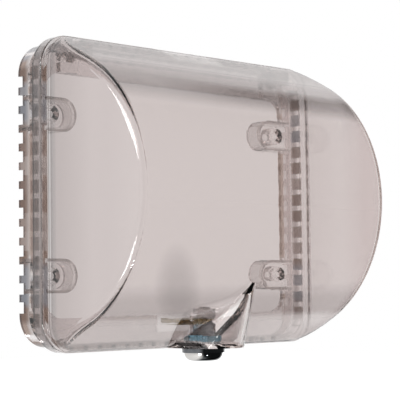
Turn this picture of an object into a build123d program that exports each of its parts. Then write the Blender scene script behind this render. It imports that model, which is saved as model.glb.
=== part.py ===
from build123d import *
from math import cos, radians, sin
import os

os.makedirs("parts", exist_ok=True)

# Frame: +Z up, +Y into the wall, the front faces -Y. The origin is the centre of the wall face.
# Every "depth" is a distance forward of the wall, so the point stands at Y = -depth.

# ---- driving dimensions, mm ----
# cover flange, the rim that closes over the base
flange_width = 222.2
flange_height = 174.6
flange_corner = 19.0
flange_rear = 15.5
flange_deep = 7.5
flange_plate = 3.1
skirt_wall = 2.1
flange_round = 0.8
# cover body, a barrel lying along X with sloping top and bottom walls and drafted flat ends
lip_side = 4.0
lip_top = 0.5
cover_wall = 3.0
barrel_centre = 9.6
barrel_slope = 28.5
end_draft = 5.7
body_corner = 16.0
edge_round = 5.0
# lock hood, a nose that grows out of the barrel down to a level shelf
hood_radius = 18.0
hood_depth = 42.0
shelf_wall = 2.8
hood_wall = 2.6
hood_apex_back = 14.0
hood_rise = 42.3
# base frame
frame_inset = 2.6
frame_corner = 18.5
frame_wall = 3.0
frame_seat_gap = 0.3
top_edge_depth = 17.5
rim_rear = 7.0
rim_front = 11.0
rim_side = 9.0
rim_top = 13.2
rim_corner = 10.0
# vent comb along the wall edge
vent_pitch = 10.4
vent_width = 6.1
vent_deep = 3.8
# screw ears, hollow bosses with a screw tube
screw_spacing_x = 184.0
screw_spacing_z = 90.0
screw_hole = 4.8
screw_head = 9.4
ear_height = 19.2
ear_overrun = 17.5
ear_wall = 2.4
ear_face = 3.0
screw_tube = 11.4
# hinge, a trunnion on each cover arm lying in an open saddle of the base
hinge_depth = 10.5
hinge_below = 5.3
hinge_inset = 25.1
trunnion_radius = 2.0
trunnion_length = 12.4
hinge_fit = 0.05
arm_width = 4.0
arm_radius = 3.4
arm_root = 6.0
arm_clearance = 0.9
saddle_width = 4.0
saddle_front = 14.5
saddle_lip = 1.1
# lock, standing upright in the shelf
lock_room = 0.7
lock_thread = 14.0
lock_flats = 12.4
lock_hole_fit = 0.2
gasket_thick = 0.6
lock_flange_diameter = 25.0
lock_flange_thick = 2.3
nose_diameter = 22.6
nose_height = 4.6
cap_thick = 0.5
housing_height = 14.1
plug_diameter = 9.6
plug_fit = 0.05
plug_nose = 10.6
keyway_width = 1.9
keyway_length = 7.6
tail_diameter = 7.0
tail_flats = 5.2
stack_gap = 0.1
stop_washer_thick = 1.4
stop_washer_diameter = 13.0
stop_hub_diameter = 10.0
stop_fit = 0.3
stop_tab_angle = 40.0
stop_play = 1.0
lock_turn_angle = 90.0
cam_thick = 2.2
cam_hub_radius = 7.5
cam_width = 11.0
claw_inner = 22.0
claw_outer = 26.0
claw_angle = 32.0
spring_washer_thick = 1.0
spring_washer_diameter = 12.6
cam_nut_flats = 11.5
cam_nut_thick = 4.6
tail_stand = 0.9
mount_nut_flats = 19.0
mount_nut_thick = 3.2
tooth_washer_thick = 0.8
tooth_washer_diameter = 20.6
tooth_count = 16
tooth_length = 1.0
tooth_width = 1.6
nut_corner = 1.1
nut_fit = 0.05
tail_fit = 0.05
wafer_count = 5
wafer_thick = 0.9
wafer_pitch = 2.3
wafer_width = 6.0
wafer_fit = 0.1
wafer_window = 5.2
wafer_cut_step = 0.6
wafer_web = 0.5
track_deep = 0.9
retain_reach = 0.6
retain_width = 3.6
spring_radius = 0.75
spring_wire = 0.25
spring_turns = 6
spring_start = -3.0
spring_length = 5.2
# keeper post on the base that the cam claw closes behind
keeper_left = 6.4
keeper_width = 4.4
keeper_rear = 15.4
keeper_thick = 3.4
keeper_above_cam = 0.6
keeper_notch_left = -16.0
keeper_notch_right = 18.0
keeper_notch_below = 4.5

# ---- worked out from the driving dimensions ----
flange_front = flange_rear + flange_deep
plate_rear = flange_front - flange_plate
body_width = flange_width - 2 * lip_side
body_height = flange_height - 2 * lip_top
body_root_height = flange_height
skirt_width = flange_width - 2 * skirt_wall
skirt_height = flange_height - 2 * skirt_wall
frame_width = flange_width - 2 * frame_inset
frame_height = flange_height - 2 * frame_inset
frame_front = plate_rear - frame_seat_gap
frame_inner_width = frame_width - 2 * frame_wall
frame_inner_height = frame_height - 2 * frame_wall
rim_opening_width = frame_inner_width - 2 * rim_side
rim_opening_height = frame_inner_height - 2 * rim_top
vent_side_count = int((frame_height - 2 * frame_corner - vent_width) / vent_pitch) + 1
vent_top_count = int((frame_width - 2 * frame_corner - vent_width) / vent_pitch) + 1
ear_inner_end = screw_spacing_x / 2 - ear_overrun
slope_across = sin(radians(barrel_slope))
slope_along = cos(radians(barrel_slope))
barrel_radius = body_height / 2 * slope_along + (flange_front - barrel_centre) * slope_across
hinge_height = body_height / 2 - cover_wall - hinge_below
hinge_spacing = body_width - 2 * hinge_inset
arm_front = flange_front + arm_root
cover_front = barrel_centre + barrel_radius
shelf_bottom = -flange_height / 2
shelf_top = shelf_bottom + shelf_wall
hood_apex_depth = cover_front - hood_apex_back
hood_apex_height = shelf_bottom + hood_rise
housing_top = shelf_bottom + housing_height
lock_flange_top = shelf_bottom - gasket_thick
lock_flange_bottom = lock_flange_top - lock_flange_thick
nose_bottom = lock_flange_bottom - nose_height
stop_washer_top = housing_top + stack_gap + stop_washer_thick
cam_bottom = stop_washer_top + stack_gap
cam_top = cam_bottom + cam_thick
spring_washer_top = cam_top + spring_washer_thick
cam_nut_top = spring_washer_top + cam_nut_thick
tail_top = cam_nut_top + tail_stand
nut_bottom = shelf_top + tooth_washer_thick
plug_radius = plug_diameter / 2
retain_level = housing_top - wafer_pitch
wafer_levels = [retain_level - (index + 1) * wafer_pitch for index in range(wafer_count)]
lock_depth = flange_front + tooth_washer_diameter / 2 + lock_room
lock_line = Axis((0, -lock_depth, 0), (0, 0, 1))
far = 2 * flange_width


def write(piece, label):
    piece.label = label
    export_step(piece, f"parts/{label}.step")
    print(label, "written")


def barrel_profile(radius):
    """Side outline of the body: the round front and the walls that run back from it to the wall."""
    with BuildLine() as outline:
        top = (-barrel_centre - radius * slope_across, radius * slope_along)
        bottom = (top[0], -top[1])
        root = radius / slope_along + barrel_centre * slope_across / slope_along
        ThreePointArc(top, (-barrel_centre - radius, 0), bottom)
        Line(bottom, (0, -root))
        Line((0, -root), (0, root))
        Line((0, root), top)
    make_face(outline.edges())


def barrel_rims(form):
    """The two round edges where the barrel meets its ends."""
    long_edges = [
        edge
        for edge in form.edges()
        if edge.center().Y < -flange_front and edge.length > barrel_radius
    ]
    return [edge for edge in long_edges if edge.bounding_box().size.X < body_width / 2]


def hood_section(reach, wall, height, level_back=0):
    """U outline of the hood at one height; reach runs from 0 at the apex to 1 at the shelf."""
    radius = hood_radius * reach - wall
    centre = hood_apex_depth + (hood_depth - hood_apex_depth) * reach
    back = level_back or centre - (hood_depth - plate_rear) * reach
    with BuildSketch(Plane.XY.offset(height)) as section:
        with BuildLine():
            side_back = (-radius, -back)
            side_front = (-radius, -centre)
            tip = (0, -centre - radius)
            Line(side_back, side_front)
            ThreePointArc(side_front, tip, (radius, -centre))
            Line((radius, -centre), (radius, -back))
            Line((radius, -back), side_back)
        make_face()
    return section.sketch


def hood_height(reach):
    return hood_apex_height + (shelf_bottom - hood_apex_height) * reach


def dome_section(radius, bottom):
    """Half section of the lock's domed nose, from the flange down to the rim of the plug hole."""
    with BuildLine() as outline:
        TangentArc((radius, lock_flange_bottom), (plug_nose / 2, bottom), tangent=(0, -1))
        Line((plug_nose / 2, bottom), (0, bottom))
        Line((0, bottom), (0, lock_flange_bottom))
        Line((0, lock_flange_bottom), (radius, lock_flange_bottom))
    make_face(outline.edges())


def free_sector(angle, mode, lead=0):
    """Sector about the lock line, centred on the middle of the turn and led back by an angle."""
    middle = 180 - lock_turn_angle / 2 + lead
    with BuildLine() as outline:
        arc = CenterArc((0, -lock_depth), lock_thread, middle - angle / 2, angle)
        Line((0, -lock_depth), arc @ 0)
        Line((0, -lock_depth), arc @ 1)
    make_face(outline.edges(), mode=mode)


def tail_hole():
    """Double-D hole that takes the turn from the tail of the plug."""
    with BuildSketch(mode=Mode.PRIVATE) as hole:
        with Locations((0, -lock_depth)):
            Circle(tail_diameter / 2 + tail_fit)
            Rectangle(tail_diameter + 2 * tail_fit, tail_flats + 2 * tail_fit, mode=Mode.INTERSECT)
    add(hole.sketch, mode=Mode.SUBTRACT)


# ---- cover shell ----
with BuildPart() as body_form:
    with BuildSketch(Plane.XZ.offset(plate_rear)):
        RectangleRounded(body_width, body_root_height, body_corner)
    extrude(amount=cover_front - plate_rear + cover_wall, taper=end_draft)
    with BuildSketch(Plane.YZ):
        barrel_profile(barrel_radius)
    extrude(amount=far, both=True, mode=Mode.INTERSECT)
    fillet(barrel_rims(body_form), edge_round)

with BuildPart() as cavity_form:
    with BuildSketch(Plane.XZ.offset(plate_rear)):
        RectangleRounded(
            body_width - 2 * cover_wall, body_root_height - 2 * cover_wall, body_corner - cover_wall
        )
    extrude(amount=cover_front - plate_rear, taper=end_draft)
    with BuildSketch(Plane.YZ):
        barrel_profile(barrel_radius - cover_wall)
    extrude(amount=far, both=True, mode=Mode.INTERSECT)
    fillet(barrel_rims(cavity_form), edge_round - cover_wall)

hood_tip_reach = 0.12
cavity_tip_reach = 1.2 * hood_wall / hood_radius + 0.1
with BuildPart() as hood_form:
    add(hood_section(1, 0, shelf_bottom))
    add(hood_section(hood_tip_reach, 0, hood_height(hood_tip_reach)))
    loft(ruled=True)

shelf_reach = (shelf_top - hood_apex_height) / (shelf_bottom - hood_apex_height)
with BuildPart() as hood_cavity:
    add(hood_section(shelf_reach, hood_wall, shelf_top, flange_front))
    tip_level = hood_height(cavity_tip_reach)
    add(hood_section(cavity_tip_reach, hood_wall, tip_level, flange_front))
    loft(ruled=True)

with BuildPart() as cover_shell:
    with BuildSketch(Plane.XZ.offset(flange_rear)):
        RectangleRounded(flange_width, flange_height, flange_corner)
    extrude(amount=flange_deep)
    outer_edges = cover_shell.faces().sort_by(Axis.Y)[0].edges()
    fillet(outer_edges, flange_round)
    with BuildSketch(Plane.XZ.offset(flange_rear)):
        RectangleRounded(skirt_width, skirt_height, flange_corner - skirt_wall)
    extrude(amount=plate_rear - flange_rear, mode=Mode.SUBTRACT)
    add(body_form.part)
    add(hood_form.part)
    add(cavity_form.part, mode=Mode.SUBTRACT)
    add(hood_cavity.part, mode=Mode.SUBTRACT)
    # hinge arms with their trunnions
    for side in (-1, 1):
        with BuildSketch(Plane.YZ.offset(side * hinge_spacing / 2)):
            with Locations((-hinge_depth, hinge_height)):
                Circle(arm_radius)
            with Locations((-(hinge_depth + arm_front) / 2, hinge_height)):
                Rectangle(arm_front - hinge_depth, 2 * arm_radius)
        extrude(amount=arm_width / 2, both=True)
        with BuildSketch(Plane.YZ.offset(side * hinge_spacing / 2)):
            with Locations((-hinge_depth, hinge_height)):
                Circle(trunnion_radius)
        extrude(amount=trunnion_length / 2, both=True)
    # double-D hole for the lock
    with BuildSketch(Plane.XY.offset(shelf_bottom)):
        with Locations((0, -lock_depth)):
            Circle(lock_thread / 2 + lock_hole_fit)
            Rectangle(
                lock_flats + 2 * lock_hole_fit, 2 * lock_thread, mode=Mode.INTERSECT
            )
    extrude(amount=shelf_wall, mode=Mode.SUBTRACT)
write(cover_shell.part, "cover_shell")

# ---- base frame ----
with BuildPart() as base_frame:
    with BuildSketch(Plane.XZ):
        RectangleRounded(frame_width, frame_height, frame_corner)
        RectangleRounded(
            frame_inner_width,
            frame_inner_height,
            frame_corner - frame_wall,
            mode=Mode.SUBTRACT,
        )
    extrude(amount=frame_front)
    # the top edge stands lower, so that the cover lip can swing over it
    with BuildSketch(Plane.XZ.offset(top_edge_depth)):
        with Locations((0, flange_height / 2)):
            Rectangle(flange_width, 2 * (flange_height / 2 - hinge_height + arm_radius))
    extrude(amount=frame_front, mode=Mode.SUBTRACT)
    with BuildSketch(Plane.XZ.offset(rim_rear)):
        RectangleRounded(
            frame_inner_width + frame_wall,
            frame_inner_height + frame_wall,
            frame_corner - frame_wall / 2,
        )
        RectangleRounded(rim_opening_width, rim_opening_height, rim_corner, mode=Mode.SUBTRACT)
    extrude(amount=rim_front - rim_rear)
    # screw ears
    ear_round = ear_height / 2
    ear_centre = ear_inner_end + ear_round
    ear_root = frame_inner_width / 2 + frame_wall / 2
    ear_places = [(sx, sz) for sx in (-1, 1) for sz in (-1, 1)]
    for sx, sz in ear_places:
        ear_level = sz * screw_spacing_z / 2
        with BuildSketch(Plane.XZ):
            with Locations((sx * ear_centre, ear_level)):
                Circle(ear_round)
            with Locations((sx * (ear_centre + ear_root) / 2, ear_level)):
                Rectangle(ear_root - ear_centre, ear_height)
        extrude(amount=rim_front)
        with BuildSketch(Plane.XZ):
            with Locations((sx * ear_centre, ear_level)):
                Circle(ear_round - ear_wall)
            with Locations((sx * (ear_centre + frame_inner_width / 2) / 2, ear_level)):
                Rectangle(frame_inner_width / 2 - ear_centre, ear_height - 2 * ear_wall)
        extrude(amount=rim_front - ear_face, mode=Mode.SUBTRACT)
        with BuildSketch(Plane.XZ):
            with Locations((sx * screw_spacing_x / 2, ear_level)):
                Circle(screw_tube / 2)
        extrude(amount=rim_front)
    with Locations(Plane.XZ.offset(rim_front)):
        with GridLocations(screw_spacing_x, screw_spacing_z, 2, 2):
            CounterSinkHole(screw_hole / 2, screw_head / 2)
    # vent comb
    with BuildSketch(Plane.XZ):
        with GridLocations(frame_width, vent_pitch, 2, vent_side_count):
            Rectangle(4 * frame_wall, vent_width)
        with GridLocations(vent_pitch, frame_height, vent_top_count, 2):
            Rectangle(vent_width, 4 * frame_wall)
    extrude(amount=vent_deep, mode=Mode.SUBTRACT)
    # hinge saddles
    slot_half = arm_width / 2 + arm_clearance
    saddle_half = slot_half + saddle_width
    saddle_bottom = rim_opening_height / 2
    saddle_top = hinge_height - trunnion_radius + saddle_lip
    for side in (-1, 1):
        hinge_x = side * hinge_spacing / 2
        with BuildSketch(Plane.XZ.offset(rim_rear)):
            with Locations((hinge_x, (saddle_bottom + saddle_top) / 2)):
                Rectangle(2 * saddle_half, saddle_top - saddle_bottom)
        extrude(amount=saddle_front - rim_rear)
        # room for the trunnion and its way in from the front
        with BuildSketch(Plane.YZ.offset(hinge_x)):
            with Locations((-hinge_depth, hinge_height)):
                Circle(trunnion_radius + hinge_fit)
            with Locations((-hinge_depth, hinge_height + trunnion_radius / 2)):
                Rectangle(2 * (trunnion_radius + hinge_fit), trunnion_radius + 2 * hinge_fit)
            with Locations((-(hinge_depth + frame_front) / 2, (saddle_top + frame_inner_height / 2) / 2)):
                Rectangle(frame_front - hinge_depth, frame_inner_height / 2 - saddle_top)
        extrude(amount=saddle_half + hinge_fit, both=True, mode=Mode.SUBTRACT)
        # slot for the swinging arm
        arm_slot_rear = hinge_depth - arm_radius - hinge_fit * 8
        with BuildSketch(Plane.XZ.offset(arm_slot_rear)):
            with Locations((hinge_x, hinge_height - arm_radius - arm_clearance)):
                Rectangle(2 * slot_half, far, align=(Align.CENTER, Align.MIN))
        extrude(amount=frame_front, mode=Mode.SUBTRACT)
    # keeper post and the notch that the claw sweeps through
    with BuildSketch(Plane.XZ.offset(rim_rear - frame_wall)):
        with Locations(((keeper_notch_left + keeper_notch_right) / 2, cam_bottom - keeper_notch_below)):
            Rectangle(
                keeper_notch_right - keeper_notch_left, far / 4, align=(Align.CENTER, Align.MIN)
            )
    extrude(amount=rim_front - rim_rear + frame_wall, mode=Mode.SUBTRACT)
    with BuildSketch(Plane.XZ.offset(keeper_rear)):
        with Locations((keeper_left + keeper_width / 2, -frame_height / 2 + frame_wall / 2)):
            Rectangle(
                keeper_width,
                cam_top + keeper_above_cam + frame_height / 2 - frame_wall / 2,
                align=(Align.CENTER, Align.MIN),
            )
    extrude(amount=keeper_thick)
write(base_frame.part, "base_frame")

# ---- lock: the pieces that stay with the cover ----
with BuildPart() as lock_gasket:
    with Locations((0, -lock_depth, lock_flange_top)):
        Cylinder(
            lock_flange_diameter / 2,
            gasket_thick,
            align=(Align.CENTER, Align.CENTER, Align.MIN),
        )
        Cylinder(
            lock_thread / 2 + lock_hole_fit,
            far,
            mode=Mode.SUBTRACT,
        )
write(lock_gasket.part, "lock_gasket")

with BuildPart() as inner_dome:
    with BuildSketch(Plane.XZ.offset(lock_depth)):
        dome_section(nose_diameter / 2 - cap_thick, nose_bottom + cap_thick)
    revolve(axis=lock_line)

with BuildPart() as lock_housing:
    with BuildSketch(Plane.XY.offset(lock_flange_bottom)):
        with Locations((0, -lock_depth)):
            Circle(lock_thread / 2)
            Rectangle(lock_flats, 2 * lock_thread, mode=Mode.INTERSECT)
    extrude(amount=housing_top - lock_flange_bottom)
    # rim sector at the rear end that stops the turn
    with BuildSketch(Plane.XY.offset(housing_top)):
        with Locations((0, -lock_depth)):
            Circle(lock_flats / 2)
            Circle(stop_hub_diameter / 2 + stop_fit, mode=Mode.SUBTRACT)
        free_sector(stop_tab_angle + lock_turn_angle + 2 * stop_play, Mode.SUBTRACT)
    extrude(amount=stop_washer_thick)
    with Locations((0, -lock_depth, lock_flange_bottom)):
        Cylinder(
            lock_flange_diameter / 2,
            lock_flange_thick,
            align=(Align.CENTER, Align.CENTER, Align.MIN),
        )
    add(inner_dome.part)
    # plug bore, wider at the nose for the head of the plug
    with Locations((0, -lock_depth, 0)):
        Cylinder(plug_radius + plug_fit, far, mode=Mode.SUBTRACT)
    with Locations((0, -lock_depth, lock_flange_bottom)):
        Cylinder(
            plug_nose / 2 + plug_fit,
            far,
            align=(Align.CENTER, Align.CENTER, Align.MAX),
            mode=Mode.SUBTRACT,
        )
    # broached track on both sides of the bore for the ends of the wafers
    with Locations((0, -lock_depth, wafer_levels[-1] - wafer_pitch / 2)):
        Box(
            2 * (plug_radius + track_deep),
            wafer_width + 2 * wafer_fit,
            wafer_pitch * wafer_count,
            align=(Align.CENTER, Align.CENTER, Align.MIN),
            mode=Mode.SUBTRACT,
        )
    # groove for the lug of the retaining wafer
    with Locations((0, -lock_depth, retain_level)):
        Cylinder(
            plug_radius + retain_reach + 2 * wafer_fit,
            wafer_thick + 4 * wafer_fit,
            mode=Mode.SUBTRACT,
        )
write(lock_housing.part, "lock_housing")

with BuildPart() as lock_face_cap:
    with BuildSketch(Plane.XZ.offset(lock_depth)):
        dome_section(nose_diameter / 2, nose_bottom)
    revolve(axis=lock_line)
    add(inner_dome.part, mode=Mode.SUBTRACT)
    with Locations((0, -lock_depth, 0)):
        Cylinder(plug_nose / 2 + 2 * plug_fit, far, mode=Mode.SUBTRACT)
write(lock_face_cap.part, "lock_face_cap")

with BuildPart() as tooth_washer:
    with BuildSketch(Plane.XY.offset(shelf_top)):
        with Locations((0, -lock_depth)):
            Circle(tooth_washer_diameter / 2 - tooth_length)
            with PolarLocations(tooth_washer_diameter / 2 - tooth_length, tooth_count):
                Rectangle(2 * tooth_length, tooth_width)
            Circle(lock_thread / 2 + lock_hole_fit, mode=Mode.SUBTRACT)
    extrude(amount=tooth_washer_thick)
write(tooth_washer.part, "tooth_washer")

with BuildPart() as mounting_nut:
    with BuildSketch(Plane.XY.offset(nut_bottom)):
        with Locations((0, -lock_depth)):
            RegularPolygon(mount_nut_flats / 2, 6, major_radius=False)
            Circle(mount_nut_flats / 2 + nut_corner, mode=Mode.INTERSECT)
            Circle(lock_thread / 2 + nut_fit, mode=Mode.SUBTRACT)
    extrude(amount=mount_nut_thick)
write(mounting_nut.part, "mounting_nut")

# ---- lock: the pieces that turn with the key ----
spring_pocket = spring_radius + wafer_fit
spring_centre = keyway_width / 2 + wafer_web + wafer_fit + spring_pocket
with BuildPart() as lock_plug:
    with Locations((0, -lock_depth, housing_top)):
        Cylinder(
            plug_radius,
            housing_top - nose_bottom,
            align=(Align.CENTER, Align.CENTER, Align.MAX),
        )
    with Locations((0, -lock_depth, nose_bottom)):
        Cylinder(
            plug_nose / 2,
            lock_flange_bottom - nose_bottom - stack_gap,
            align=(Align.CENTER, Align.CENTER, Align.MIN),
        )
    with BuildSketch(Plane.XY.offset(housing_top)):
        with Locations((0, -lock_depth)):
            Circle(tail_diameter / 2)
            Rectangle(tail_diameter, tail_flats, mode=Mode.INTERSECT)
    extrude(amount=tail_top - housing_top)
    # keyway
    with Locations((0, -lock_depth, nose_bottom)):
        Box(
            keyway_length,
            keyway_width,
            wafer_levels[0] + wafer_pitch / 2 - nose_bottom,
            align=(Align.CENTER, Align.CENTER, Align.MIN),
            mode=Mode.SUBTRACT,
        )
    # slots for the wafers, each with a pocket for its spring
    for level in wafer_levels:
        with Locations((0, -lock_depth, level)):
            Box(
                plug_diameter,
                wafer_width + 2 * wafer_fit,
                wafer_thick + 2 * wafer_fit,
                mode=Mode.SUBTRACT,
            )
        with Locations((spring_start, spring_centre - lock_depth, level)):
            Cylinder(
                spring_pocket,
                spring_length,
                rotation=(0, 90, 0),
                align=(Align.CENTER, Align.CENTER, Align.MIN),
                mode=Mode.SUBTRACT,
            )
    # slot of the retaining wafer
    with Locations((spring_start, -lock_depth, retain_level)):
        Box(
            plug_diameter,
            retain_width + 2 * wafer_fit,
            wafer_thick + 2 * wafer_fit,
            align=(Align.MIN, Align.CENTER, Align.CENTER),
            mode=Mode.SUBTRACT,
        )
write(lock_plug.part, "lock_plug")

with BuildPart() as key_wafers:
    for index, level in enumerate(wafer_levels):
        cut_offset = wafer_cut_step * (index % 3 - 1)
        with BuildSketch(Plane.XY.offset(level - wafer_thick / 2)):
            with Locations((0, -lock_depth)):
                Circle(plug_radius)
                Rectangle(plug_diameter, wafer_width, mode=Mode.INTERSECT)
            # window for the key
            with Locations((cut_offset, -lock_depth)):
                Rectangle(wafer_window, keyway_width + 2 * wafer_fit, mode=Mode.SUBTRACT)
            # seat for the spring, open at the side
            with Locations((spring_start, spring_centre - spring_pocket - lock_depth)):
                Rectangle(
                    spring_length,
                    wafer_width,
                    align=(Align.MIN, Align.MIN),
                    mode=Mode.SUBTRACT,
                )
        extrude(amount=wafer_thick)
write(key_wafers.part, "key_wafers")

spring_turn = (spring_length - spring_wire - wafer_fit) / spring_turns
with BuildPart() as wafer_springs:
    for level in wafer_levels:
        spring_foot = (
            spring_start + (spring_wire + wafer_fit) / 2,
            spring_centre - lock_depth,
            level,
        )
        with BuildLine() as coil:
            Helix(
                spring_turn,
                spring_turn * spring_turns,
                spring_radius - spring_wire / 2,
                center=spring_foot,
                direction=(1, 0, 0),
            )
        with BuildSketch(Plane(origin=coil.line @ 0, z_dir=coil.line % 0)):
            Circle(spring_wire / 2)
        sweep(path=coil.line, is_frenet=True)
write(wafer_springs.part, "wafer_springs")

with BuildPart() as retaining_wafer:
    with Locations((spring_start + wafer_fit, -lock_depth, retain_level)):
        Box(
            plug_radius + retain_reach - spring_start - wafer_fit,
            retain_width,
            wafer_thick,
            align=(Align.MIN, Align.CENTER, Align.CENTER),
        )
    with Locations((0, -lock_depth, retain_level)):
        Cylinder(plug_radius + retain_reach, wafer_thick, mode=Mode.INTERSECT)
write(retaining_wafer.part, "retaining_wafer")

with BuildPart() as stop_washer:
    with BuildSketch(Plane.XY.offset(housing_top + stack_gap)):
        with Locations((0, -lock_depth)):
            Circle(stop_washer_diameter / 2)
        free_sector(stop_tab_angle, Mode.INTERSECT, lock_turn_angle / 2)
        with Locations((0, -lock_depth)):
            Circle(stop_hub_diameter / 2)
        tail_hole()
    extrude(amount=stop_washer_thick)
write(stop_washer.part, "stop_washer")

with BuildPart() as lock_cam:
    with BuildSketch(Plane.XY.offset(cam_bottom)):
        # claw, an arc of a ring at the end of the arm
        with BuildLine():
            claw_tip = 180 - claw_angle
            outer_arc = CenterArc((0, -lock_depth), claw_outer, claw_tip, claw_angle)
            inner_arc = CenterArc((0, -lock_depth), claw_inner, claw_tip, claw_angle)
            Line(outer_arc @ 1, inner_arc @ 1)
            Line(outer_arc @ 0, inner_arc @ 0)
        make_face()
        with BuildSketch(mode=Mode.ADD):
            with Locations((0, -lock_depth)):
                Rectangle(claw_outer, cam_width, align=(Align.MAX, Align.CENTER))
                Circle(claw_outer, mode=Mode.INTERSECT)
        with Locations((0, -lock_depth)):
            Circle(cam_hub_radius)
        tail_hole()
    extrude(amount=cam_thick)
write(lock_cam.part, "lock_cam")

with BuildPart() as cam_washer:
    with BuildSketch(Plane.XY.offset(cam_top)):
        with Locations((0, -lock_depth)):
            Circle(spring_washer_diameter / 2)
            Circle(tail_diameter / 2 + tail_fit, mode=Mode.SUBTRACT)
    extrude(amount=spring_washer_thick)
write(cam_washer.part, "cam_washer")

with BuildPart() as cam_nut:
    with BuildSketch(Plane.XY.offset(spring_washer_top)):
        with Locations((0, -lock_depth)):
            RegularPolygon(cam_nut_flats / 2, 6, major_radius=False)
            Circle(cam_nut_flats / 2 + nut_corner, mode=Mode.INTERSECT)
            Circle(tail_diameter / 2 + tail_fit, mode=Mode.SUBTRACT)
    extrude(amount=cam_nut_thick)
write(cam_nut.part, "cam_nut")
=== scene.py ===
import math

import bpy
from mathutils import Matrix, Vector

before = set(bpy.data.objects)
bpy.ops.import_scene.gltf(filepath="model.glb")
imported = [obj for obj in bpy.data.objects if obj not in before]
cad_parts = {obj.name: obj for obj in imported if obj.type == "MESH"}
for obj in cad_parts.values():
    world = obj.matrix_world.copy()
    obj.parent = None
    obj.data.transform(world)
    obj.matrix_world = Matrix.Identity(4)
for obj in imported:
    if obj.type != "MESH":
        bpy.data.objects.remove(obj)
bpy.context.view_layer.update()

print("lock box: frame loaded,", len(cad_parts), "nodes")

cameraSettings = {
    "place": (-0.59509, -0.62711, -0.05272),  # metres, in the frame of the part
    "heading": 45.038,  # degrees from +Y towards +X
    "tilt": 3.521,  # degrees above level
    "roll": -0.73,  # degrees
    "focal": 1430.6,  # pixels in a picture of the width below
    "pictureWide": 400,
    "sensorWide": 36,  # millimetres
    "clip": (0.01, 20),
}


def makeCamera(s):
    heading, tilt, roll = (math.radians(s[k]) for k in ("heading", "tilt", "roll"))
    level = math.cos(tilt)
    ahead = Vector((math.sin(heading) * level, math.cos(heading) * level, math.sin(tilt)))
    right = Vector((math.cos(heading), -math.sin(heading), 0))
    up = right.cross(ahead)
    rightRolled = right * math.cos(roll) + up * math.sin(roll)
    upRolled = up * math.cos(roll) - right * math.sin(roll)
    camData = bpy.data.cameras.new("cam")
    camData.sensor_width = s["sensorWide"]
    camData.lens = s["sensorWide"] * s["focal"] / s["pictureWide"]
    camData.clip_start, camData.clip_end = s["clip"]
    camData.dof.use_dof = False
    cam = bpy.data.objects.new("cam", camData)
    bpy.context.scene.collection.objects.link(cam)
    turn = Matrix((rightRolled, upRolled, -ahead)).transposed().to_4x4()
    cam.matrix_world = Matrix.Translation(Vector(s["place"])) @ turn
    bpy.context.scene.camera = cam


makeCamera(cameraSettings)
print("lock box: camera set")


def newMaterial(name):
    mat = bpy.data.materials.new(name)
    mat.use_nodes = True
    mat.node_tree.nodes.clear()
    return mat, mat.node_tree


def addNode(tree, kind, **values):
    node = tree.nodes.new(kind)
    for key, value in values.items():
        setattr(node, key, value)
    return node


wearLook = {
    "detail": 6,
    "edge": (0.35, 0.7),  # of the noise, where the mask rises from 0 to 1
}


# scratches and handling marks: gives a mask from 0 to 1 and a height for a bump
def buildWearGroup(s):
    group = bpy.data.node_groups.new("handlingWear", "ShaderNodeTree")
    face = group.interface
    sockets = (("Scale", 1, 4000, 60), ("Amount", 0, 1, 0.5), ("Stretch", 0.1, 50, 8))
    for label, low, high, default in sockets:
        socket = face.new_socket(name=label, in_out="INPUT", socket_type="NodeSocketFloat")
        socket.min_value, socket.max_value, socket.default_value = low, high, default
    face.new_socket(name="Mask", in_out="OUTPUT", socket_type="NodeSocketFloat")
    face.new_socket(name="Height", in_out="OUTPUT", socket_type="NodeSocketFloat")
    inn = addNode(group, "NodeGroupInput")
    out = addNode(group, "NodeGroupOutput")
    coords = addNode(group, "ShaderNodeTexCoord")
    stretch = addNode(group, "ShaderNodeCombineXYZ")
    group.links.new(inn.outputs["Stretch"], stretch.inputs["X"])
    stretch.inputs["Y"].default_value = 1
    stretch.inputs["Z"].default_value = 1
    mapping = addNode(group, "ShaderNodeMapping")
    group.links.new(coords.outputs["Object"], mapping.inputs["Vector"])
    group.links.new(stretch.outputs["Vector"], mapping.inputs["Scale"])
    fine = addNode(group, "ShaderNodeTexNoise")
    fine.inputs["Detail"].default_value = s["detail"]
    group.links.new(mapping.outputs["Vector"], fine.inputs["Vector"])
    group.links.new(inn.outputs["Scale"], fine.inputs["Scale"])
    worn = ramp(group, fine.outputs["Fac"], s["edge"])
    group.links.new(multiply(group, worn, inn.outputs["Amount"]), out.inputs["Mask"])
    group.links.new(fine.outputs["Fac"], out.inputs["Height"])
    return group


def ramp(tree, source, ends, levels=(0, 1)):
    node = addNode(tree, "ShaderNodeMapRange")
    node.inputs["From Min"].default_value, node.inputs["From Max"].default_value = ends
    node.inputs["To Min"].default_value, node.inputs["To Max"].default_value = levels
    tree.links.new(source, node.inputs["Value"])
    return node.outputs["Result"]


def mixColours(tree, factor, first, second):
    node = addNode(tree, "ShaderNodeMix", data_type="RGBA")
    tree.links.new(factor, node.inputs["Factor"])
    for socket, value in (("A", first), ("B", second)):
        if isinstance(value, tuple):
            node.inputs[socket].default_value = (*value, 1)
        else:
            tree.links.new(value, node.inputs[socket])
    return node.outputs["Result"]


# each value is a number or a socket; a node with one input takes the first only
def mathOf(tree, operation, *values):
    node = addNode(tree, "ShaderNodeMath", operation=operation)
    for index, value in enumerate(values):
        if isinstance(value, (int, float)):
            node.inputs[index].default_value = value
        else:
            tree.links.new(value, node.inputs[index])
    return node.outputs["Value"]


def multiply(tree, first, second):
    return mathOf(tree, "MULTIPLY", first, second)


# 1 between the two middle levels, 0 outside the outer ones
def band(tree, source, levels):
    rising, falling = levels[:2], (levels[3], levels[2])
    return multiply(tree, ramp(tree, source, rising), ramp(tree, source, falling))


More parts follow.
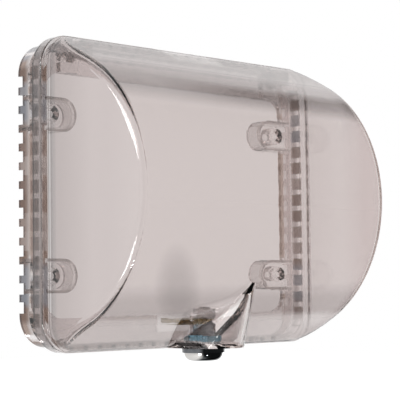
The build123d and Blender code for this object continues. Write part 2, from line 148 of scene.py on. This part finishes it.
# a number from 0 to 1 for each step of a pitch, and where in the step a point lies
def blocks(tree, source, pitch, seed):
    steps = mathOf(tree, "DIVIDE", source, pitch)
    chance = addNode(tree, "ShaderNodeTexWhiteNoise", noise_dimensions="1D")
    tree.links.new(mathOf(tree, "ADD", mathOf(tree, "FLOOR", steps), seed), chance.inputs["W"])
    return chance.outputs["Value"], mathOf(tree, "FRACT", steps)


def objectPlace(tree):
    coords = addNode(tree, "ShaderNodeTexCoord")
    split = addNode(tree, "ShaderNodeSeparateXYZ")
    tree.links.new(coords.outputs["Object"], split.inputs["Vector"])
    return coords.outputs["Object"], split.outputs


wearGroup = buildWearGroup(wearLook)

# lengths are metres; "From" and "Depth" pairs say where a tint starts and where it is full
coverLook = {
    "tint": (0.675, 0.605, 0.592),
    "farTint": (0.95, 0.94, 0.938),  # the flat of the end wall at +X
    "farFrom": (0.0985, 0.1005),
    "farRim": (0.081, 0.075),
    "barrelCentre": (0, -0.0096, 0),
    "sidePaintedLight": (0.76, 0.69, 0.68),  # the barrel towards +X, painted paler against the dark room its front reflects there
    "sideFrom": (0.03, 0.085),
    "nearTint": (0.6, 0.535, 0.525),  # the end wall at -X; painted shade darkens it towards the flange
    "nearFrom": (-0.0975, -0.0995),
    "nearPaintedShade": (0.5, 0.445, 0.435),
    "nearDepth": (0.055, 0.03),
    "rootPaintedShade": (0.40, 0.37, 0.365),  # painted shade beside the flange
    "rootDepth": (0.0278, 0.0266),
    "hoodTint": (0.86, 0.82, 0.81),
    "hoodFrom": (0.0838, 0.0845),
    "hoodHalf": (0.021, 0.020),
    "upperShade": (0.62, 0.76, 2.2, 2.4),  # radians up from level, about the barrel
    "lowerShade": (0.66, 0.80, 2.2, 2.4),  # radians down
    "shade": (0.31, 0.19),  # above, below
    "bandShade": (0.60, 0.74, 0.88, 1.02),  # a darker band in the upper shade
    "bandExtra": 0.17,
    "dimPlace": (0.0146, -0.73),  # a soft painted shadow, at an X plus depth and a turn
    "dimReach": (0.018, 0.38),
    "dimEdge": (1, 0.1),
    "dim": 0.22,
    "lipTint": (1, 1, 1),
    "lipRefractedTeeth": (0.70, 0.68, 0.68),  # painted refraction: dark dashes along the lip, the comb teeth seen through it
    "lipDepth": (0.0222, 0.0228, 0.0232, 0.0236),
    "lipBand": (0.1083, 0.1087, 0.1104, 0.1108),
    "dashPitch": 0.0104,
    "dashShare": (0.25, 0.4),  # the least of a pitch that a dash fills, and the most added
    "dashSeed": 3,
}
black = (0, 0, 0)


# distance from the barrel's axis, and the turn about it in radians up from level
def aboutBarrel(tree, place, depth, height, centre):
    away = addNode(tree, "ShaderNodeVectorMath", operation="SUBTRACT")
    tree.links.new(place, away.inputs[0])
    away.inputs[1].default_value = centre
    flat = addNode(tree, "ShaderNodeVectorMath", operation="MULTIPLY")
    tree.links.new(away.outputs["Vector"], flat.inputs[0])
    flat.inputs[1].default_value = (0, 1, 1)
    reach = addNode(tree, "ShaderNodeVectorMath", operation="LENGTH")
    tree.links.new(flat.outputs["Vector"], reach.inputs[0])
    ahead = mathOf(tree, "ADD", depth, centre[1])
    return reach.outputs["Value"], mathOf(tree, "ARCTAN2", height, ahead)


# paints shade on the top and bottom of the barrel and a band above, and a soft painted shadow at
# the front
def shadeBarrel(tree, colour, along, depth, turn, s):
    upper = multiply(tree, band(tree, turn, s["upperShade"]), s["shade"][0])
    below = multiply(tree, turn, -1)
    lower = multiply(tree, band(tree, below, s["lowerShade"]), s["shade"][1])
    colour = mixColours(tree, mathOf(tree, "MAXIMUM", upper, lower), colour, black)
    extra = multiply(tree, band(tree, turn, s["bandShade"]), s["bandExtra"])
    colour = mixColours(tree, extra, colour, black)
    squares = []
    slanted = mathOf(tree, "ADD", along, depth)
    for value, middle, spread in zip((slanted, turn), s["dimPlace"], s["dimReach"]):
        off = mathOf(tree, "DIVIDE", mathOf(tree, "SUBTRACT", value, middle), spread)
        squares.append(multiply(tree, off, off))
    dim = ramp(tree, mathOf(tree, "ADD", *squares), s["dimEdge"], (0, s["dim"]))
    return mixColours(tree, dim, colour, black)


# painted refraction of the comb teeth: dashes along the lip, each of its own length
def paintedLipRefraction(tree, height, wide, s):
    chance, part = blocks(tree, height, s["dashPitch"], s["dashSeed"])
    least, added = s["dashShare"]
    length = mathOf(tree, "ADD", least, multiply(tree, chance, added))
    dash = mathOf(tree, "LESS_THAN", part, length)
    dash = multiply(tree, dash, band(tree, wide, s["lipBand"]))
    return mixColours(tree, dash, s["lipTint"], s["lipRefractedTeeth"])


def coverColour(tree, s):
    place, axes = objectPlace(tree)
    depth = multiply(tree, axes["Y"], -1)
    wide = mathOf(tree, "ABSOLUTE", axes["X"])
    reach, turn = aboutBarrel(tree, place, depth, axes["Z"], s["barrelCentre"])
    # painted light: the barrel paler towards +X
    colour = mixColours(tree, ramp(tree, axes["X"], s["sideFrom"]), s["tint"], s["sidePaintedLight"])
    colour = shadeBarrel(tree, colour, axes["X"], depth, turn, s)
    hood = multiply(tree, ramp(tree, reach, s["hoodFrom"]), ramp(tree, wide, s["hoodHalf"]))
    colour = mixColours(tree, hood, colour, s["hoodTint"])
    # painted shade on the end wall at -X, deepest beside the flange
    near = mixColours(tree, ramp(tree, depth, s["nearDepth"]), s["nearTint"], s["nearPaintedShade"])
    near = mixColours(tree, ramp(tree, depth, s["rootDepth"]), near, s["rootPaintedShade"])
    colour = mixColours(tree, ramp(tree, axes["X"], s["nearFrom"]), colour, near)
    far = multiply(tree, ramp(tree, axes["X"], s["farFrom"]), ramp(tree, reach, s["farRim"]))
    colour = mixColours(tree, far, colour, s["farTint"])
    lip = paintedLipRefraction(tree, axes["Z"], wide, s)
    return mixColours(tree, band(tree, depth, s["lipDepth"]), colour, lip)


# "Wide" is a distance from the middle along X, "High" one along Z
baseLook = {
    "rimTint": (0.84, 0.80, 0.795),
    "edgeTint": (0.42, 0.31, 0.25),  # the inner edge of the rim
    "edgeBand": (0.0963, 0.0964, 0.0967, 0.0969),
    "flatTint": (0.42, 0.385, 0.38),  # top and bottom walls, mottled
    "flatPale": (0.66, 0.63, 0.62),
    "flatFrom": (0.0807, 0.0815),
    "mottleScale": 75,
    "mottleDetail": 2,
    "mottleEdge": (0.4, 0.6),
    "earTint": (0.96, 0.95, 0.948),
    # painted shade in a ring round the ear's hole
    "earRingShade": (0.5, 0.47, 0.46),
    "earCentre": (0.0841, 0.045),
    "earRing": (0.0078, 0.0083, 0.0095, 0.0098),
    "earWide": (0.070, 0.0725, 0.1035, 0.1045),
    "earHigh": (0.0335, 0.0345, 0.0555, 0.0565),
    "wallTint": (0.55, 0.51, 0.50),  # the side walls
    "wallFrom": (0.1045, 0.1053),
    "lapTint": (0.95, 0.93, 0.925),  # under the flange
    "lapDepth": (0.0135, 0.0150),
    "openTint": (0.86, 0.82, 0.81),  # in front of the painted vent shadows at +X, and all of it at -X
    "warm": (0.15, 0.085, 0.06),  # the comb
    "cool": (0.17, 0.175, 0.20),
    "pale": (0.5, 0.44, 0.42),
    "paleFrom": (0.5, 1),
    "paleShare": 0.5,
    "coolHigh": (0.037, 0.041, 0.060, 0.063),
    "coolTop": (0.073, 0.076),
    "combFrom": (-0.01, -0.09),
    "combDepth": (0.0102, 0.0050),
    # painted vent shadows: dark blocks on the side wall at +X, in the comb's colours
    "ventShadowDepth": (0.0098, 0.0108, 0.0175, 0.0188),
    "ventShadowShare": 0.85,
    "ventShadowLength": 0.7,  # of a pitch
    "ventPitch": 0.0104,
    "ventSeed": 5,
}


def mottledFlat(tree, place, s):
    mottle = addNode(tree, "ShaderNodeTexNoise")
    mottle.inputs["Scale"].default_value = s["mottleScale"]
    mottle.inputs["Detail"].default_value = s["mottleDetail"]
    tree.links.new(place, mottle.inputs["Vector"])
    share = ramp(tree, mottle.outputs["Fac"], s["mottleEdge"])
    return mixColours(tree, share, s["flatTint"], s["flatPale"])


# an ear with a ring of painted shade round the inner side of its hole
def earColour(tree, wide, high, s):
    inward = mathOf(tree, "MINIMUM", mathOf(tree, "SUBTRACT", wide, s["earCentre"][0]), 0)
    across = mathOf(tree, "SUBTRACT", high, s["earCentre"][1])
    squares = mathOf(tree, "ADD", multiply(tree, inward, inward), multiply(tree, across, across))
    ring = band(tree, mathOf(tree, "SQRT", squares), s["earRing"])
    return mixColours(tree, ring, s["earTint"], s["earRingShade"])


# warm and cool stretches, some steps of the vents paler
def combColour(tree, height, high, chance, s):
    coolTop = ramp(tree, height, s["coolTop"])
    hue = mathOf(tree, "MAXIMUM", band(tree, high, s["coolHigh"]), coolTop)
    comb = mixColours(tree, hue, s["warm"], s["cool"])
    paler = ramp(tree, chance, s["paleFrom"], (0, s["paleShare"]))
    return mixColours(tree, paler, comb, s["pale"])


def baseColour(tree, s):
    place, axes = objectPlace(tree)
    depth = multiply(tree, axes["Y"], -1)
    wide = mathOf(tree, "ABSOLUTE", axes["X"])
    high = mathOf(tree, "ABSOLUTE", axes["Z"])
    chance, part = blocks(tree, axes["Z"], s["ventPitch"], s["ventSeed"])
    comb = combColour(tree, axes["Z"], high, chance, s)
    colour = mixColours(tree, band(tree, wide, s["edgeBand"]), s["rimTint"], s["edgeTint"])
    flat = ramp(tree, high, s["flatFrom"])
    colour = mixColours(tree, flat, colour, mottledFlat(tree, place, s))
    ear = multiply(tree, band(tree, wide, s["earWide"]), band(tree, high, s["earHigh"]))
    colour = mixColours(tree, ear, colour, earColour(tree, wide, high, s))
    left = ramp(tree, axes["X"], s["combFrom"])
    side = ramp(tree, wide, s["wallFrom"])
    wall = mixColours(tree, ramp(tree, depth, s["lapDepth"]), s["wallTint"], s["lapTint"])
    front = mathOf(tree, "MAXIMUM", left, ramp(tree, depth, s["ventShadowDepth"][:2]))
    wall = mixColours(tree, front, s["openTint"], wall)
    colour = mixColours(tree, side, colour, wall)
    # painted shadows of vents on the side wall at +X
    ventShadow = multiply(tree, band(tree, depth, s["ventShadowDepth"]), side)
    ventShadow = multiply(tree, ventShadow, mathOf(tree, "LESS_THAN", part, s["ventShadowLength"]))
    colour = mixColours(tree, multiply(tree, ventShadow, s["ventShadowShare"]), colour, comb)
    outer = multiply(tree, mathOf(tree, "MAXIMUM", side, flat), left)
    return mixColours(tree, multiply(tree, ramp(tree, depth, s["combDepth"]), outer), colour, comb)


plasticLook = {
    "ior": 1.585,
    "haze": 0.012,
    "hazeScale": 45,
    "lightThrough": 0.92,  # share of lamp light that passes
    "rippleHeight": 0.00004,
    "depthColour": (0.78, 0.71, 0.68),
    "depthDensity": 18,  # per metre
}


def addWear(tree, scale, amount, stretch):
    wear = addNode(tree, "ShaderNodeGroup", node_tree=wearGroup)
    wear.inputs["Scale"].default_value = scale
    wear.inputs["Amount"].default_value = amount
    wear.inputs["Stretch"].default_value = stretch
    return wear.outputs


def clearPlastic(name, colour, look):
    s = plasticLook
    mat, tree = newMaterial(name)
    out = addNode(tree, "ShaderNodeOutputMaterial")
    shader = addNode(tree, "ShaderNodeBsdfPrincipled")
    tree.links.new(colour(tree, look), shader.inputs["Base Color"])
    shader.inputs["Transmission Weight"].default_value = 1
    shader.inputs["IOR"].default_value = s["ior"]
    wear = addWear(tree, s["hazeScale"], s["haze"], 1)
    tree.links.new(wear["Mask"], shader.inputs["Roughness"])
    ripple = addNode(tree, "ShaderNodeBump")
    ripple.inputs["Strength"].default_value = 1
    ripple.inputs["Distance"].default_value = s["rippleHeight"]
    tree.links.new(wear["Height"], ripple.inputs["Height"])
    tree.links.new(ripple.outputs["Normal"], shader.inputs["Normal"])
    # lamps shine through, so that what is inside is lit
    shadowRay = addNode(tree, "ShaderNodeLightPath").outputs["Is Shadow Ray"]
    solid = mathOf(tree, "MULTIPLY_ADD", shadowRay, -s["lightThrough"], 1)
    tree.links.new(solid, shader.inputs["Alpha"])
    tree.links.new(shader.outputs["BSDF"], out.inputs["Surface"])
    inside = addNode(tree, "ShaderNodeVolumeAbsorption")
    inside.inputs["Color"].default_value = (*s["depthColour"], 1)
    inside.inputs["Density"].default_value = s["depthDensity"]
    tree.links.new(inside.outputs["Volume"], out.inputs["Volume"])
    return mat


# "colour" turns to half "dark" where worn; "rough" rises by "wear" there
metalLook = {
    "chrome": {
        "colour": (0.16, 0.165, 0.175), "dark": (0.05, 0.052, 0.056), "rough": 0.06, "wear": 0.05,
    },
    "cap": {
        "colour": (0.085, 0.09, 0.095), "dark": (0.04, 0.042, 0.045), "rough": 0.05, "wear": 0.03,
        "pale": (0.62, 0.60, 0.58), "paleFrom": (-0.0074, -0.0092),  # painted reflection, bright towards -X
    },
    "zinc": {
        "colour": (0.45, 0.46, 0.47), "dark": (0.12, 0.13, 0.14), "rough": 0.2, "wear": 0.2,
    },
    "blueZinc": {
        "colour": (0.10, 0.19, 0.24), "dark": (0.03, 0.07, 0.10), "rough": 0.24, "wear": 0.2,
    },
    "nickel": {
        "colour": (0.40, 0.39, 0.37), "dark": (0.10, 0.10, 0.09), "rough": 0.16, "wear": 0.2,
    },
    "brass": {
        "colour": (0.72, 0.56, 0.28), "dark": (0.45, 0.33, 0.15), "rough": 0.3, "wear": 0.15,
    },
    "yellowZinc": {
        "colour": (0.42, 0.32, 0.14), "dark": (0.09, 0.06, 0.03), "rough": 0.2, "wear": 0.2,
    },
    "brightNut": {
        "colour": (0.5, 0.51, 0.52), "dark": (0.04, 0.042, 0.045), "rough": 0.08, "wear": 0.1,
    },
}
platingLook = {"wearScale": 420, "wearStretch": 2, "darkShare": 0.5}


def platedMetal(name, s):
    mat, tree = newMaterial(name)
    out = addNode(tree, "ShaderNodeOutputMaterial")
    shader = addNode(tree, "ShaderNodeBsdfPrincipled")
    shader.inputs["Metallic"].default_value = 1
    mask = addWear(tree, platingLook["wearScale"], 1, platingLook["wearStretch"])["Mask"]
    share = multiply(tree, mask, platingLook["darkShare"])
    surface = mixColours(tree, share, s["colour"], s["dark"])
    # painted reflection: the cap paler towards -X
    if "pale" in s:
        paler = ramp(tree, objectPlace(tree)[1]["X"], s["paleFrom"])
        surface = mixColours(tree, paler, surface, s["pale"])
    tree.links.new(surface, shader.inputs["Base Color"])
    rough = mathOf(tree, "MULTIPLY_ADD", mask, s["wear"], s["rough"])
    tree.links.new(rough, shader.inputs["Roughness"])
    tree.links.new(shader.outputs["BSDF"], out.inputs["Surface"])
    return mat


gasketLook = {
    "colour": (0.02, 0.02, 0.022),
    "worn": (0.06, 0.06, 0.062),
    "rough": 0.6,
    "wearScale": 900,
    "wearAmount": 0.5,
    "wearStretch": 8,
}


def gasketRubber(s):
    mat, tree = newMaterial("gasketRubber")
    out = addNode(tree, "ShaderNodeOutputMaterial")
    shader = addNode(tree, "ShaderNodeBsdfPrincipled")
    mask = addWear(tree, s["wearScale"], s["wearAmount"], s["wearStretch"])["Mask"]
    surface = mixColours(tree, mask, s["colour"], s["worn"])
    tree.links.new(surface, shader.inputs["Base Color"])
    shader.inputs["Roughness"].default_value = s["rough"]
    tree.links.new(shader.outputs["BSDF"], out.inputs["Surface"])
    return mat


metals = {key: platedMetal(key, value) for key, value in metalLook.items()}
finishes = {
    "base_frame": clearPlastic("clearBase", baseColour, baseLook),
    "cover_shell": clearPlastic("clearCover", coverColour, coverLook),
    "lock_gasket": gasketRubber(gasketLook),
    "lock_housing": metals["chrome"],
    "lock_face_cap": metals["cap"],
    "tooth_washer": metals["zinc"],
    "mounting_nut": metals["blueZinc"],
    "lock_plug": metals["nickel"],
    "key_wafers": metals["brass"],
    "wafer_springs": metals["zinc"],
    "retaining_wafer": metals["brass"],
    "stop_washer": metals["zinc"],
    "lock_cam": metals["yellowZinc"],
    "cam_washer": metals["zinc"],
    "cam_nut": metals["brightNut"],
}
print("lock box: materials made")
for node, finish in finishes.items():
    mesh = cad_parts[node].data
    for index in range(max(1, len(mesh.materials))):
        if index < len(mesh.materials):
            mesh.materials[index] = finish
        else:
            mesh.materials.append(finish)
print("lock box: finishes set")

# pale floor, pale backdrop, soft light; gloss sees a darker room in front of the part
studio = {
    "backdrop": (1, 1, 1),  # seen directly, in gloss and through the plastic
    "roomLevel": 0.55,  # what lights dull surfaces
    "frontWay": (0.35, -0.94, 0),  # towards the dark side of the room
    "frontEdge": (0.1, 0.42),
    "frontLevel": 0.06,
    "floorLevel": -0.45,
    "floorSize": (12, 12),
    "floorColour": (0.8, 0.8, 0.8),
    "floorGlow": 0.9,
    "floorGlowBeyond": 0.5,  # in gloss and through the plastic
}


# how much of the room shows in gloss along a way out from the part
def glossLevel(tree, way, s):
    unit = addNode(tree, "ShaderNodeVectorMath", operation="NORMALIZE")
    tree.links.new(way, unit.inputs[0])
    along = addNode(tree, "ShaderNodeVectorMath", operation="DOT_PRODUCT")
    tree.links.new(unit.outputs["Vector"], along.inputs[0])
    along.inputs[1].default_value = s["frontWay"]
    return ramp(tree, along.outputs["Value"], s["frontEdge"], (1, s["frontLevel"]))


def makeWorld(s):
    world = bpy.data.worlds.new("studio")
    bpy.context.scene.world = world
    world.use_nodes = True
    tree = world.node_tree
    tree.nodes.clear()
    out = addNode(tree, "ShaderNodeOutputWorld")
    rays = addNode(tree, "ShaderNodeLightPath").outputs
    way = addNode(tree, "ShaderNodeTexCoord").outputs["Generated"]
    plain = mathOf(tree, "MAXIMUM", rays["Is Camera Ray"], rays["Is Transmission Ray"])
    gloss = multiply(tree, glossLevel(tree, way, s), rays["Is Glossy Ray"])
    seen = mathOf(tree, "MAXIMUM", plain, gloss)
    dull = multiply(tree, rays["Is Diffuse Ray"], s["roomLevel"])
    shade = addNode(tree, "ShaderNodeBackground")
    shade.inputs["Color"].default_value = (*s["backdrop"], 1)
    tree.links.new(mathOf(tree, "MAXIMUM", seen, dull), shade.inputs["Strength"])
    tree.links.new(shade.outputs["Background"], out.inputs["Surface"])


def addPlane(name, size, mat):
    w, h = (side / 2 for side in size)
    corners = [(-w, -h, 0), (w, -h, 0), (w, h, 0), (-w, h, 0)]
    mesh = bpy.data.meshes.new(name)
    mesh.from_pydata(corners, [], [(0, 1, 2, 3)])
    mesh.materials.append(mat)
    plane = bpy.data.objects.new(name, mesh)
    bpy.context.scene.collection.objects.link(plane)
    return plane


# a rough ray through plastic counts as glossy too, so "mirrored" leaves it out
def floorPaint(s):
    mat, tree = newMaterial("paleFloor")
    out = addNode(tree, "ShaderNodeOutputMaterial")
    rays = addNode(tree, "ShaderNodeLightPath").outputs
    place = addNode(tree, "ShaderNodeNewGeometry").outputs["Position"]
    hidden = mathOf(tree, "SUBTRACT", 1, glossLevel(tree, place, s))
    opaque = mathOf(tree, "SUBTRACT", 1, rays["Is Transmission Ray"])
    mirrored = multiply(tree, rays["Is Glossy Ray"], opaque)
    shown = mathOf(tree, "SUBTRACT", 1, multiply(tree, hidden, mirrored))
    paint = addNode(tree, "ShaderNodeBsdfDiffuse")
    tree.links.new(mixColours(tree, shown, black, s["floorColour"]), paint.inputs["Color"])
    glow = addNode(tree, "ShaderNodeEmission")
    beyond = mathOf(tree, "MAXIMUM", rays["Is Glossy Ray"], rays["Is Transmission Ray"])
    beyond = multiply(tree, multiply(tree, beyond, shown), s["floorGlowBeyond"])
    direct = multiply(tree, rays["Is Camera Ray"], s["floorGlow"])
    tree.links.new(mathOf(tree, "MAXIMUM", beyond, direct), glow.inputs["Strength"])
    both = addNode(tree, "ShaderNodeAddShader")
    tree.links.new(paint.outputs["BSDF"], both.inputs[0])
    tree.links.new(glow.outputs["Emission"], both.inputs[1])
    tree.links.new(both.outputs["Shader"], out.inputs["Surface"])
    return mat


lamps = {
    "leftSoftbox": {
        "place": (-0.86, 0.04, 0.26), "aim": (-0.05, -0.05, 0),
        "size": (0.42, 0.16), "power": 2.6,
    },
    "lowSoftbox": {
        "place": (-0.60, -0.285, -0.32), "aim": (-0.05, -0.05, 0),
        "size": (0.2, 0.22), "power": 1.3,
    },
    "noseLamp": {
        "place": (-0.12, -0.40, -0.38), "aim": (0, -0.04, -0.09),
        "size": (0.05, 0.05), "power": 0.6,
    },
}
# seen in gloss only, black in the middle and fading out over "soft" metres
darkCards = {
    "cardAbove": {"place": (1.12, 0, 0.7), "aim": (1.12, 0, 0), "size": (1.16, 0.44), "soft": 0.14},
    "cardBelow": {
        "place": (0.45, -0.02, -0.42), "aim": (0.45, -0.02, 0), "size": (0.9, 0.3), "soft": 0.07,
    },
}
cardColour = (0.01, 0.01, 0.011)
cardHiddenFrom = ("camera", "diffuse", "transmission", "volume_scatter", "shadow")


def turnTowards(thing, place, aim):
    thing.location = place
    thing.rotation_mode = "QUATERNION"
    thing.rotation_quaternion = (Vector(aim) - Vector(place)).to_track_quat("-Z", "Y")


def makeLamp(name, s):
    data = bpy.data.lights.new(name, "AREA")
    data.shape = "RECTANGLE"
    data.size, data.size_y = s["size"]
    data.energy = s["power"]
    lamp = bpy.data.objects.new(name, data)
    lamp.visible_camera = False
    bpy.context.scene.collection.objects.link(lamp)
    turnTowards(lamp, s["place"], s["aim"])


def cardBlack(name, s):
    mat, tree = newMaterial(name)
    out = addNode(tree, "ShaderNodeOutputMaterial")
    paint = addNode(tree, "ShaderNodeBsdfDiffuse")
    paint.inputs["Color"].default_value = (*cardColour, 1)
    clear = addNode(tree, "ShaderNodeBsdfTransparent")
    axes = objectPlace(tree)[1]
    sides = []
    for axis, size in zip(("X", "Y"), s["size"]):
        away = mathOf(tree, "ABSOLUTE", axes[axis])
        sides.append(ramp(tree, away, (size / 2, size / 2 - s["soft"])))
    mix = addNode(tree, "ShaderNodeMixShader")
    tree.links.new(multiply(tree, *sides), mix.inputs["Fac"])
    tree.links.new(clear.outputs["BSDF"], mix.inputs[1])
    tree.links.new(paint.outputs["BSDF"], mix.inputs[2])
    tree.links.new(mix.outputs["Shader"], out.inputs["Surface"])
    return mat


def makeCard(name, s):
    card = addPlane(name, s["size"], cardBlack(name + "Black", s))
    turnTowards(card, s["place"], s["aim"])
    for ray in cardHiddenFrom:
        setattr(card, "visible_" + ray, False)


makeWorld(studio)
floor = addPlane("floor", studio["floorSize"], floorPaint(studio))
floor.location.z = studio["floorLevel"]
for name, values in lamps.items():
    makeLamp(name, values)
for name, values in darkCards.items():
    makeCard(name, values)
scene = bpy.context.scene
scene.view_settings.view_transform = "Standard"
# light has many walls to pass
scene.cycles.max_bounces = 40
scene.cycles.transmission_bounces = 40
scene.cycles.glossy_bounces = 24
print("lock box: studio set")
